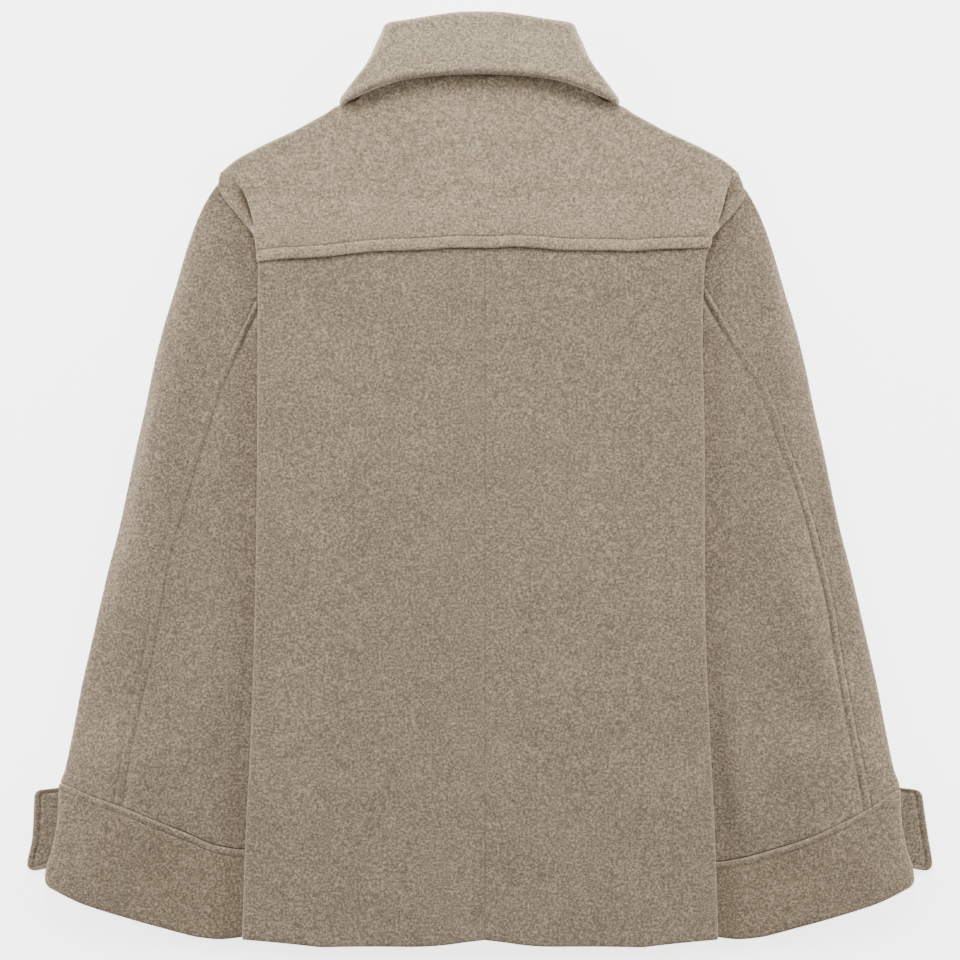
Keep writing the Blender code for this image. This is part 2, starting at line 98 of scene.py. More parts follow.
# Stitching: how far each row lies from its seam, its groove and the length of one stitch
YOKE_STITCH = 9.8
CENTRE_STITCH = 9.0
SLEEVE_STITCH = 6.7
CUFF_STITCH = 6.4
STITCH_LENGTH = 3.4
NAP = 0.05


def table(names, *rows):
    """Named columns of a short table of sizes."""
    return dict(zip(names.split(), np.array(rows, float).T))


# Half width of the body's side edge at each height, on each side, the armhole seam above 204
BODY_SIDE = table("y left right", (-390, 198, 199), (-309, 195.4, 196.6), (-225, 191.3, 192.6),
                  (-100, 187.1, 188), (21, 185.4, 187.7), (125, 185, 186), (180, 184.6, 188),
                  (192, 185.4, 191), (204.5, 187.6, 194.6), (210, 192.5, 199.6), (219, 200, 208.5),
                  (228, 207.5, 216), (238, 215, 221.4), (245, 217.6, 219.6), (251, 217, 217.2),
                  (258, 214.8, 214.8), (400, 214.8, 214.8))
# Half width of the fold beside each armhole, where the body drops to the sleeve
CREST = table("y left right", (204, 186.2, 195), (211, 187.2, 196.5), (223, 189.8, 200.8),
              (235.4, 193.8, 204), (245, 198.8, 206.3), (258, 207, 210), (270, 220, 220))
# Half width of the sleeve's and the cuff's outer edge
SLEEVE_OUT = table("y half", (-345, 356), (-339, 359.5), (-334, 362.6), (-325, 361.7), (-310, 357),
                   (-281, 351.8), (-257, 350.8), (-242, 345.8), (-209, 339.2), (-175, 332.9),
                   (-142, 325.4), (-109, 317.9), (-75, 310), (-42, 301.3), (-9, 294.2), (25, 287.1),
                   (58, 279.6), (91, 272.9), (125, 264.6), (158, 254.6), (191, 245), (208, 239.2),
                   (225, 232.1), (241, 222.9), (251, 214.6))
# Half width of the sleeve's hidden inner edge, and of the armhole seam above its underarm end
SLEEVE_IN = table("y half", (-372, 158), (-320, 151), (-300, 151), (-225, 140), (-100, 128),
                  (66, 112), (90, 126), (125, 148), (165, 170), (204.5, 185), (219, 200), (238, 212),
                  (251, 209), (400, 209))
# The armhole from the shoulder point to the underarm, by its share of the sleeve's width
ARMHOLE = table("share half y", (0, 213, 252), (0.1, 212, 240), (0.2, 205, 229.5), (0.32, 193, 216.4),
                (0.45, 181, 203), (0.6, 166, 167), (0.78, 144, 118), (1, 112, 66))
# The cuff's upper edge on each side, the cuff's lower edge and the body's hem, by half width
CUFF_TOP = table("half left right", (150, -303, -317), (197, -309, -319.3), (220, -305.4, -315.7),
                 (242, -296, -309.5), (270, -283.8, -299.7), (299, -271.6, -286.5),
                 (325, -262.9, -272.8), (346, -254, -259.5), (356, -252, -256))
CUFF_HEM = table("half y", (150, -369), (175, -377), (200, -382.3), (216, -383.8), (233, -382.1),
                 (250, -377.9), (266, -372.9), (283, -367.9), (300, -362.9), (316, -357.9),
                 (333, -352.1), (350, -344.2), (362, -338))
BODY_HEM = table("half y", (0, -383.8), (16, -385.6), (33, -387.9), (50, -389.2), (66, HEM),
                 (133, HEM), (150, -387.9), (166, -386.2), (183, -384.6), (200, -383))
# The sleeve's back seam, as half widths at each height
BACK_SEAM = table("y left right", (-330, 306, 329), (-255, 295, 316.4), (-215, 288.3, 308.4),
                  (-184, 282, 302.5), (-152, 274, 296.6), (-113, 267.5, 290.7), (-70, 260, 281),
                  (-18, 245.6, 267), (25, 232.5, 251.5), (72, 217, 235.5), (110, 199.5, 211.8),
                  (150, 181, 188), (185, 166, 172), (230, 150, 152))
# The yoke's lower edge across the back, from the wearer's left to the right
YOKE_SEAM = table("x y", (-200, 179), (-165, 183.3), (-137, 184.6), (-109, 187.6), (-88, 189.6),
                  (-38, 191.3), (-24, 192.6), (13, 192.4), (25, 193.6), (47, 192.4), (75, 190.4),
                  (104, 190.4), (124, 189.7), (146, 191.3), (200, 192.6))
# The shoulder line, the back neckline and the front neckline
SHOULDER = table("half y", (NECK_HALF, 314.6), (112, 312.8), (118.8, 310.4), (127, 305), (137, 299.6),
                 (152, 291.3), (187, 274.6), (213, 257.9), (216, 250))
BACK_NECK = table("half y", (0, 351), (40, 350), (70, 342), (90, 328), (NECK_HALF, 314.6))
FRONT_NECK = table("half y", (0, 236), (28, 238), (50, 246), (75, 262), (92, 283),
                   (NECK_HALF, 309.8))
# The collar's fold and its fall's lower edge at the back, by half width
COLLAR_FOLD = table("half y", (0, 389.6), (15, 389.2), (35, 386.8), (60, 382.7), (79, 380.2))
COLLAR_EDGE = table("half y", (0, 337.6), (32, 336.4), (62, 333), (92, 323.4), (108, 314.6),
                    (117.5, 310.4))
# The collar's side from the fold to the lower edge, and its front end, by share of its depth
COLLAR_SIDE = table("share half y", (0, 80.6, 380), (0.2, 85.4, 367.4), (0.4, 90.4, 353.4),
                    (0.58, 97.5, 340.4), (0.78, 108.8, 326.3), (0.9, 115, 318.2), (1, 117.5, 310.4))
COLLAR_END = table("share half y", (0, 32, 270), (1, 70, 213))
# Each cuff strap's free end, as half widths at each height
TAB_END = table("y left right", (-327, 376.5, 377.5), (-318, 378.2, 378.6), (-296, 374, 375.4),
                (-278, 372.8, 372.6), (-257, 372, 369.6))
# Soft creases, listed: ends, width across, and height, which is below 0 in a trough
CREASES = table("x1 y1 x2 y2 width height",
                (18, -325, 30, -352, 9, -0.9), (26, -348, 14, -386, 8, 0.6),
                (0, -386, 1, -360, 11, -1.1), (-70, -389, -60, -300, 30, 0.5),
                (90, -389, 80, -290, 32, 0.5), (-150, -380, -140, -250, 26, -0.8),
                (150, -380, 146, -230, 24, -0.8), (-120, 150, -60, 60, 34, -0.5),
                (60, 120, 110, 20, 36, -0.5), (-40, -60, -20, -220, 40, 0.4),
                (60, -40, 40, -230, 40, -0.4), (-215, -10, -262, -250, 20, -1.0),
                (-300, 10, -322, -180, 17, -0.3), (-262, 90, -296, -130, 22, 1.5),
                (-232, -40, -240, -280, 13, 0.8), (-245, -300, -300, -375, 18, -0.7),
                (-300, -280, -335, -340, 16, 0.6), (216, -10, 250, -250, 19, -1.0),
                (250, 60, 238, -90, 17, 1.0), (272, 20, 305, -170, 18, -1.2),
                (262, -70, 296, -200, 15, 1.6), (240, -110, 262, -210, 14, -1.1),
                (318, -40, 332, -220, 12, 0.5), (208, -190, 225, -300, 12, 0.9),
                (246, -305, 290, -372, 18, -0.7), (300, -290, 336, -345, 15, 0.6),
                (-150, 262, -196, 226, 13, -0.5), (150, 262, 198, 226, 13, -0.5),
                (-235, 190, -250, 60, 12, 0.7), (240, 190, 256, 60, 12, 0.7),
                (-68, -160, -24, -172, 4, 0.5), (-30, -148, -6, -160, 3.5, -0.4),
                (4, -132, 50, -146, 4.5, 0.5), (66, -66, 104, -84, 5, 0.5),
                (90, 58, 136, 72, 5, 0.45), (2, 160, 36, 148, 4.5, 0.4),
                (-96, -20, -52, -8, 5, 0.4), (22, -208, 70, -198, 5, 0.45),
                (-130, -250, -92, -262, 5, 0.4))


def read(tab, column, at, by="y"):
    """A table's column as a smooth curve through its rows: cubic, with slopes that never overshoot."""
    order = np.argsort(tab[by])
    x, y = tab[by][order], tab[column][order]
    steps = np.diff(x)
    rise = np.diff(y) / steps
    slope = np.zeros_like(y)
    same = rise[1:] * rise[:-1] > 0
    total = rise[1:] + rise[:-1]
    slope[1:-1] = np.where(same, 2 * rise[1:] * rise[:-1] / np.where(same, total, 1), 0)
    slope[0], slope[-1] = rise[0], rise[-1]
    at = np.clip(at, x[0], x[-1])
    i = np.clip(np.searchsorted(x, at) - 1, 0, len(steps) - 1)
    t = (at - x[i]) / steps[i]
    return (y[i] * (1 + 2 * t) * (1 - t) ** 2 + slope[i] * steps[i] * t * (1 - t) ** 2
            + y[i + 1] * t * t * (3 - 2 * t) + slope[i + 1] * steps[i] * t * t * (t - 1))


def smooth(t):
    """0 below 0, 1 above 1, and a soft rise between."""
    t = np.clip(t, 0, 1)
    return t * t * (3 - 2 * t)


def hand_of(side):
    """The wearer's side that -1 or 1 stands for."""
    return "left" if side < 0 else "right"


def over_sleeve(half, y, width):
    """1 where the sleeve lies below the body, falling to 0 over this width towards the middle."""
    full = read(SLEEVE_IN, "half", y) - 9
    return smooth((half - full + width) / width)


def over_cuff(half, y):
    """1 where the body lies over a cuff."""
    return smooth((-225 - y) / 50) * over_sleeve(half, y, 50)


def front_height(x, y, side):
    """Height of a front: on the floor, up over the sleeves, the collar and the lapped centre."""
    half = np.abs(x)
    collar = smooth((y - 150) / 40) * smooth((half - 26) / 24)
    raised = SIDE_LIFT * (1 - (1 - over_sleeve(half, y, 30)) * (1 - collar))
    reach = smooth((64 - side * x) / 26) * 6.3 if side < 0 else smooth((54 - x) / 26) * 3.3
    return FLOOR_PLY + np.maximum(raised, reach) + CUFF_LIFT * over_cuff(half, y)


def back_height(x, y):
    """Height of the back: level over the sleeves, the lapped centre and the collar."""
    half = np.abs(x)
    sides = 2.7 * over_sleeve(half, y, 62)
    centre = 3.0 * smooth((84 - half) / 44) * smooth((280 - y) / 30)
    top = 2.7 * smooth((y - 105) / 75) * smooth((half - 10) / 40)
    rise = (sides ** 4 + centre ** 4 + top ** 4 + 1e-6) ** 0.25
    neck = smooth((y - 212) / 42) * (11.9 - CHANNEL_BACK)
    return CHANNEL_BACK + np.maximum(rise, neck) + CUFF_LIFT * over_cuff(half, y)


def tab_rise(half, y):
    """Lift of the sleeve and cuff where the strap lies below their outer edge."""
    outer = read(SLEEVE_OUT, "half", y)
    return TAB_LIFT * smooth((half - outer + 112) / 40) * smooth((-190 - y) / 52)


def creases(x, y):
    """Sum of the soft creases: each a bell across its line, fading out towards both ends."""
    total = np.zeros(np.broadcast(x, y).shape)
    for x1, y1, x2, y2, width, height in zip(*(CREASES[k] for k in CREASES)):
        run = np.hypot(x2 - x1, y2 - y1)
        along = ((x - x1) * (x2 - x1) + (y - y1) * (y2 - y1)) / run ** 2
        bow = 0.18 * width * np.sin(3.1 * along + x1)
        across = ((x - x1) * (y2 - y1) - (y - y1) * (x2 - x1)) / run + bow
        total = total + height * np.exp(-(across / width) ** 2) * np.exp(-((along - 0.5) / 0.5) ** 4)
    return total


def ripple(x, y, size):
    """A slow unevenness of pressed wool, from a few crossed waves with no common period."""
    return size * (np.sin(x / 23.1 + 1.3 * np.sin(y / 61.0)) * np.sin(y / 37.7 + 0.8)
                   + 0.6 * np.sin(x / 11.3 + y / 17.9 + 2.1) * np.sin(y / 13.7 - x / 29.3))


def groove(distance, along, depth, width=0.85):
    """A stitched furrow: a bell-shaped trough that dips once for each stitch along it."""
    pull = 0.75 + 0.25 * np.cos(2 * np.pi * along / STITCH_LENGTH)
    soft = 0.3 * np.exp(-(distance / (3 * width)) ** 2)
    return -depth * pull * np.exp(-(distance / width) ** 2) - depth * soft


def flat_below(relief, grid):
    """Relief without the ridges of the lowest wall, which rests flat."""
    return np.where(grid[..., 2] < LOW_WALL, np.minimum(relief, 0), relief)


def lengths(grid, axis):
    """Distance run along a grid's rows or columns, in millimetres."""
    steps = np.linalg.norm(np.diff(grid, axis=axis), axis=-1)
    zero = np.zeros_like(np.take(steps, [0], axis=axis))
    return np.concatenate([zero, np.cumsum(steps, axis=axis)], axis=axis)


def spaced(*stops):
    """Steps from one stop to the next: pairs of a stop and the step size that leads up to it."""
    places = [np.array([stops[0]], float)]
    for stop, step in stops[1:]:
        start = places[-1][-1]
        count = max(1, int(round(abs(stop - start) / step)))
        places.append(np.linspace(start, stop, count + 1)[1:])
    return np.concatenate(places)


def edge_steps(length, step, lip=1.7):
    """Distances from 0 to a length that close up at both ends, for a rounded cloth edge."""
    near = lip * (1 - np.cos(np.radians([0, 22, 45, 67, 90])))
    middle = np.linspace(lip, length - lip, max(2, int((length - 2 * lip) / step)))
    return np.concatenate([near[:-1], middle, length - near[-2::-1]])


def quarter(distance, lip):
    """A quarter circle that rises from 0 at an edge to 1 at this distance from it."""
    return np.sqrt(np.clip(1 - (1 - np.clip(distance / lip, 0, 1)) ** 2, 0, 1))


def cloth_piece(name, grid, thickness, outward, relief=0, closed=False, lips=(1.7, 1.7, 1.7, 1.7)):
    """A closed cloth wall about a grid of points, its free edges rounded.

    Each point goes out and in along the surface's normal by half the thickness, times a quarter
    circle of its distance from each edge. relief moves the outer side alone, and outward is 1
    where the grid's own normal points to the cloth's face. lips says how far the rounding
    reaches from the first column, the last column, the first row and the last row."""
    rows, columns = grid.shape[:2]
    if closed:
        wrapped = np.concatenate([grid[:, -1:], grid, grid[:, :1]], axis=1)
        across = np.gradient(wrapped, axis=1)[:, 1:-1]
    else:
        across = np.gradient(grid, axis=1)
    normal = np.cross(across, np.gradient(grid, axis=0))
    normal /= np.maximum(np.linalg.norm(normal, axis=-1, keepdims=True), 1e-9)
    down = lengths(grid, 0)
    shape = quarter(down, lips[2]) * quarter(down[-1:] - down, lips[3])
    if not closed:
        over = lengths(grid, 1)
        shape = shape * quarter(over, lips[0]) * quarter(over[:, -1:] - over, lips[1])
    nap = NAP * (np.sin(grid[..., 0] * 1.9 + 2 * np.sin(grid[..., 1] * 0.7))
                 * np.sin(grid[..., 1] * 2.3 + 2 * np.sin(grid[..., 0] * 0.9)))
    face = shape * (thickness / 2 + nap) + np.where(shape > 0, relief, 0) * shape
    back = shape * thickness / 2
    upper, lower = (face, back) if outward > 0 else (back, face)
    top = grid + normal * upper[..., None]
    bottom = grid - normal * lower[..., None]
    index = np.arange(rows * columns).reshape(rows, columns)
    rim = np.zeros((rows, columns), bool)
    rim[[0, -1]] = True
    if not closed:
        rim[:, [0, -1]] = True
    under = np.where(rim, index, 0)
    under[~rim] = rows * columns + np.arange((~rim).sum())
    places = np.concatenate([top.reshape(-1, 3), bottom[~rim]])
    if closed:
        index = np.hstack([index, index[:, :1]])
        under = np.hstack([under, under[:, :1]])
    quads = [np.stack([i[:-1, :-1], i[:-1, 1:], i[1:, 1:], i[1:, :-1]], -1).reshape(-1, 4)
             for i in (index, under)]
    faces = np.concatenate([quads[0], quads[1][:, ::-1]])
    return dressed(name, places, faces)


def dressed(name, places, faces):
    """A smooth mesh object from points in millimetres and four-sided faces."""
    mesh = bpy.data.meshes.new(name)
    mesh.vertices.add(len(places))
    mesh.vertices.foreach_set("co", (places * MM).astype(np.float32).ravel())
    mesh.loops.add(faces.size)
    mesh.loops.foreach_set("vertex_index", faces.astype(np.int32).ravel())
    mesh.polygons.add(len(faces))
    mesh.polygons.foreach_set("loop_start", np.arange(0, faces.size, 4, dtype=np.int32))
    mesh.update(calc_edges=True)
    mesh.validate()
    mesh.shade_smooth()
    piece = bpy.data.objects.new(name, mesh)
    bpy.context.scene.collection.objects.link(piece)
    return piece


def wear(piece, node, material):
    """Puts a material on a piece, and has it ride on the coat in place of its solid."""
    piece.data.materials.append(material)
    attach(piece, "root")
    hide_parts(node)


def declare_sheet(grid, closed=False):
    """Works out a piece's flat cut: its middle surface's longest run each way, and its area, which are
    then not kept or used.
    """
    if closed:
        grid = np.concatenate([grid, grid[:, :1]], axis=1)
    width = lengths(grid, 1)[:, -1].max() * MM
    length = lengths(grid, 0)[-1].max() * MM
    a = grid[1:, :-1] - grid[:-1, :-1]
    b = grid[:-1, 1:] - grid[:-1, :-1]
    area = float(np.linalg.norm(np.cross(a, b), axis=-1).sum()) * MM * MM
    area = min(max(area, 0.31 * width * length), width * length)


def stack(x, y, z):
    """Three arrays as one grid of points."""
    return np.stack(np.broadcast_arrays(x, y, z), axis=-1).astype(float)


def body_relief(x, y, slack):
    """Creases and unevenness of the body, held back where the layers below are close."""
    folds = creases(x, y) + ripple(x, y, 0.16)
    return np.maximum(folds, -slack) * smooth((slack + 0.5) / 1.5) + np.maximum(folds, 0) * 0.4


def make_back(side, material):
    """Half the back: centre seam to side edge, rolled round it and turned under to the side seam."""
    hand = hand_of(side)
    centre = side * CENTRE_SEAM
    flat = np.concatenate([spaced(0, (0.5, 0.17), (7.3, 1.1), (10.7, 0.34), (14, 1.1)),
                           spaced(14, (170, 2.4), (BACK_FLAT, 1.6))[1:]]) / BACK_FLAT
    rows = edge_steps(BACK_RUN, 3.2) / BACK_RUN
    foot = read(BODY_HEM, "y", flat * HEM_HALF, "half")
    top = read(YOKE_SEAM, "y", side * flat * BACK_HALF, "x") + YOKE_LAP
    y = foot + (top - foot) * rows[:, None]
    edge = read(BODY_SIDE, hand, np.minimum(y, SIDE_TOP)) - FLOOR_PLY
    upper, lower = back_height(edge, y), front_height(edge, y, 1)
    radius = (upper - lower) / 2 + 0.45
    half = centre + 0.03 + (edge - radius - centre - 0.03) * flat
    slack = np.clip(back_height(half, y) - front_height(half, y, 1) - PITCH, 0, 2)
    puff = 0.9 * smooth((half - edge + 22) / 14) * smooth((y - foot + 4) / 10)
    z = back_height(half, y) + puff + body_relief(side * half, y, slack) * smooth((edge - half) / 14)
    turn = np.radians(np.linspace(0, 180, 13)[1:])
    last_y = y[:, -1:] + 0 * turn
    r = radius[:, -1:]
    middle = (upper[:, -1:] + lower[:, -1:]) / 2 + 0.45
    under = edge[:, -1:] - r - np.array([[3.0, 7.0, 11.0, 14.0, 15.2, 16.0]])
    half = np.hstack([half, edge[:, -1:] - r + r * np.sin(turn), under])
    z = np.hstack([z, middle + r * np.cos(turn), lower[:, -1:] + 0 * under])
    y = np.hstack([y, last_y, y[:, -1:] + 0 * under])
    grid = stack(side * half, y, z)
    run = lengths(grid, 1)
    relief = -0.35 * np.exp(-(run / 1.5) ** 2)
    if side > 0:
        relief = relief + groove(run - CENTRE_STITCH, y, 0.5)
    name = f"back_{hand}"
    piece = cloth_piece(f"{name}_cloth", grid, CLOTH, side, relief, lips=(0.5, 1.7, 1.9, 1.7))
    wear(piece, name, material)
    declare_sheet(grid)


def yoke_side(y, z):
    """How far the yoke's side edge turns down: most where the armhole seam meets the body's side."""
    over_back = smooth((206 - y) / 12)
    corner = smooth((y - 202) / 3) * smooth((216 - y) / 4)
    down_to_sleeve = np.maximum(1.2, z - SLEEVE_HIGH - LAP_STEP)
    return 1.2 * (1 + 1.5 * over_back) * (1 - corner) + down_to_sleeve * corner


def make_yoke(material):
    """The yoke: lapped lower edge, two shoulders rolled over, and sides pressed down to the sleeves."""
    part = spaced(0, (0.88, 0.011), (1.0, 0.0033))
    share = np.concatenate([-part[:0:-1], part])
    top_half = np.abs(SHOULDER_HALF * share)
    top = np.where(top_half < NECK_HALF, read(BACK_NECK, "y", top_half, "half"),
                   read(SHOULDER, "y", top_half, "half")) - 1.9
    seam = read(YOKE_SEAM, "y", YOKE_HALF * share, "x")
    low = spaced(0, (1.7, 0.34), (8.2, 1.1), (11.4, 0.35), (20, 1.2), (36, 2.0))
    above = np.linspace(0, 1, 58)[1:, None]
    start = seam + low[:, None]
    y = np.vstack([start, start[-1] + (top - start[-1]) * above])
    sided = np.where(share < 0, read(BODY_SIDE, "left", y), read(BODY_SIDE, "right", y))
    edge = sided - 1.5
    x = share * edge
    step = LAP_STEP * (1 - smooth((y - seam - YOKE_LAP - 3) / 52))
    z = back_height(x, y) + step
    crest = np.where(x < 0, read(CREST, "left", y), read(CREST, "right", y))
    past = np.abs(x) - crest
    beside = smooth((y - 203) / 8) * smooth((254 - y) / 22)
    tuck = smooth((past + 0.6) / 3) * (1 - smooth((past - 2.4) / 6)) * beside
    hollow = 4.4 * (1 - smooth(past / 12)) * smooth((edge - np.abs(x) - 2) / 8)
    bottom = SLEEVE_HIGH + LAP_STEP - hollow
    z = z - (z - bottom) * beside * smooth((past + 0.4) / 3)
    x = x - np.sign(x) * 4.2 * tuck * smooth((edge - np.abs(x) - 0.5) / 4)
    fold = creases(x, y) * 0.8 + ripple(x, y, 0.14)
    z = z + np.maximum(fold, -0.15) * smooth((y - seam - 26) / 20) * smooth((edge - np.abs(x)) / 12)
    tip = np.hypot(np.abs(x) - TIP_HALF, y - TIP_Y)
    z = z - TIP_FALL * smooth(1 - tip / TIP_REACH)
    angle = np.radians(np.linspace(0, 84, 7)[1:])[:, None]
    fall = 1.9 + (np.minimum(6.5, z[-1] - 3.4) - 1.9) * smooth((np.abs(x[-1]) - 119) / 10)
    y = np.vstack([y, y[-1] + 1.9 * np.sin(angle)])
    z = np.vstack([z, z[-1] - fall * (1 - np.cos(angle))])
    x = np.vstack([x, np.repeat(x[-1:], 6, axis=0)])
    angle = angle.T
    turned = 1 - np.cos(angle)
    left, right = x[:, :1] - 1.5 * np.sin(angle), x[:, -1:] + 1.5 * np.sin(angle)
    x = np.hstack([left[:, ::-1], x, right])
    near = z[:, :1] - yoke_side(y[:, :1], z[:, :1]) * turned
    far = z[:, -1:] - yoke_side(y[:, -1:], z[:, -1:]) * turned
    z = np.hstack([near[:, ::-1], z, far])
    y = np.hstack([y[:, :1] + 0 * angle, y, y[:, -1:] + 0 * angle])
    grid = stack(x, y, z)
    run = lengths(grid, 0)
    relief = groove(run - YOKE_STITCH, x, 0.8)
    relief = relief + 0.25 * np.exp(-((run - 5.2) / 3) ** 2)
    piece = cloth_piece("yoke_cloth", grid, CLOTH, 1, relief, lips=(1.7, 1.7, 2.4, 1.7))
    wear(piece, "yoke", material)
    declare_sheet(grid)


def make_front(side, material):
    """A front: from its lapped edge to the side seam and armhole, up to shoulder and neckline."""
    hand = hand_of(side)
    share = edge_steps(223.6, 2.6) / 223.6
    rows = edge_steps(FRONT_RUN, 4.0) / FRONT_RUN
    across = -LAP_HALF + (FRONT_HALF + LAP_HALF) * share
    top = np.where(across < NECK_HALF, read(FRONT_NECK, "y", np.maximum(across, 0), "half"),
                   read(SHOULDER, "y", across, "half") - 3.5)
    foot = read(BODY_HEM, "y", np.abs(across), "half") + 0.6
    y = foot + (top - foot) * rows[:, None]
    seam = read(BODY_SIDE, hand, np.minimum(y, SIDE_TOP)) - FLOOR_PLY - FLAP - 3 * GAP
    armhole = read(BODY_SIDE, hand, y) - 26
    edge = seam + (armhole - seam) * smooth((y - 222) / 20)
    half = -LAP_HALF + (edge + LAP_HALF) * share
    x = side * half
    grid = stack(x, y, front_height(x, y, side))
    name = f"front_{hand}"
    piece = cloth_piece(f"{name}_cloth", grid, CLOTH, -side)
    wear(piece, name, material)
    declare_sheet(grid)


def patch(share, down, top, foot, outer, inner):
    """A four-sided patch of (half width, y) points, blended from its four edges."""
    s, d = share[..., None], down[..., None]
    zero, one = np.zeros(1), np.ones(1)
    return ((1 - d) * top(share) + d * foot(share) + (1 - s) * outer(down) + s * inner(down)
            - (1 - s) * (1 - d) * top(zero) - s * (1 - d) * top(one)
            - (1 - s) * d * foot(zero) - s * d * foot(one))


def pair(half, y):
    """Half widths and heights as one array of plan points."""
    return np.stack(np.broadcast_arrays(half, y), axis=-1)


def sleeve_plan(share, down, hand):
    """Plan of a sleeve: share 0 at its outer edge and 1 at its hidden inner edge, down 0 to 1."""
    def top(part):
        return pair(read(ARMHOLE, "half", part, "share"), read(ARMHOLE, "y", part, "share"))

    def foot(part):
        half = CUFF_OUT + (INNER_FOOT - CUFF_OUT) * part
        return pair(half, read(CUFF_TOP, hand, half, "half") + 0.4)

    def outer(way):
        y = SLEEVE_OUT_TOP + (foot(np.zeros(1))[0, 1] - SLEEVE_OUT_TOP) * way
        return pair(read(SLEEVE_OUT, "half", y) - FLOOR_PLY, y)

    def inner(way):
        y = SLEEVE_IN_TOP + (foot(np.ones(1))[0, 1] - SLEEVE_IN_TOP) * way
        return pair(read(SLEEVE_IN, "half", y), y)
    return patch(share, down, top, foot, outer, inner)


def cuff_plan(share, down, hand):
    """Plan of a cuff: share 0 at its outer edge and 1 at its hidden inner edge, down 0 to 1."""
    def top(part):
        half = CUFF_OUT + (INNER_FOOT - CUFF_OUT) * part
        return pair(half, read(CUFF_TOP, hand, half, "half") + 0.2)

    def foot(part):
        half = CUFF_FOOT_OUT + (CUFF_FOOT_IN - CUFF_FOOT_OUT) * part
        return pair(half, read(CUFF_HEM, "y", half, "half") + 0.2)

    def outer(way):
        start, end = top(np.zeros(1))[0, 1], foot(np.zeros(1))[0, 1]
        y = start + (end - start) * way
        return pair(read(SLEEVE_OUT, "half", y) - CUFF_CLOTH / 2, y)

    def inner(way):
        start, end = top(np.ones(1))[0], foot(np.ones(1))[0]
        return start + (end - start) * way[..., None]
    return patch(share, down, top, foot, outer, inner)


def tube_heights(share, place, hand, width, low, high, crown):
    """Heights of a flattened tube's two walls, rounded at its outer and inner edges."""
    half, y = place[..., 0], place[..., 1]
    radius = (high - low) / 2
    swell = crown * smooth((half - read(BODY_SIDE, hand, y) - 4) / 85)
    from_out, from_in = share * width, (1 - share) * width
    wide = 0.65 * quarter(from_out, EDGE_ROUND) + 0.35 * np.clip(from_out / EDGE_ROUND, 0, 1)
    tight = quarter(from_in, radius)
    upper = low + radius + (radius + swell) * np.minimum(wide, tight)
    lower = low + radius - radius * np.minimum(quarter(from_out, radius), tight)
    lift = tab_rise(half, y)
    return upper + lift, lower + lift


def tube_wall(plan, share, down, hand, upper, sizes):
    """A grid of points on one side of a flattened tube, for arrays of shares."""
    share = share + 0 * down
    place = plan(share, down, hand)
    width = np.linalg.norm(plan(0 * down, down, hand) - plan(0 * down + 1, down, hand), axis=-1)
    heights = tube_heights(share, place, hand, width, *sizes)
    return stack(place[..., 0], place[..., 1], heights[0] if upper else heights[1])


def round_shares(width, radius=1.5):
    """Shares that step finely round a tube's outer edge: on its lower side, then its upper side."""
    under = (1 - np.cos(np.radians(np.linspace(15, 90, 6)))) * radius / width
    over = (1 - np.cos(np.radians(np.linspace(6, 90, 15)))) * EDGE_FINE / width
    return under, over


def inner_shares(width, radius=1.5):
    """Shares that step round a tube's inner edge, from its upper side."""
    return 1 - (1 - np.cos(np.radians(np.linspace(90, 15, 6)))) * radius / width


def seam_shares(hand, down):
    """For each station down the sleeve, the share of its width at which the back seam lies."""
    tries = np.linspace(0.02, 0.98, 385)
    place = sleeve_plan(np.broadcast_to(tries, (len(down), len(tries))), down, hand)
    miss = place[..., 0] - read(BACK_SEAM, hand, place[..., 1])
    after = np.clip(np.argmax(miss < 0, axis=1), 1, len(tries) - 1)
    row = np.arange(len(down))
    first, second = miss[row, after - 1], miss[row, after]
    part = np.clip(first / np.where(first == second, 1, first - second), 0, 1)
    return (tries[after - 1] + (tries[after] - tries[after - 1]) * part)[:, None]


def sleeve_relief(grid, side, hand):
    """Creases of the sleeve, stronger in its loose middle and held back below the body's edge."""
    x, y = side * grid[..., 0], grid[..., 1]
    clear = smooth((grid[..., 0] - read(BODY_SIDE, hand, y)) / 18)
    return (2.0 * creases(x, y) + ripple(x, y, 0.25)) * clear


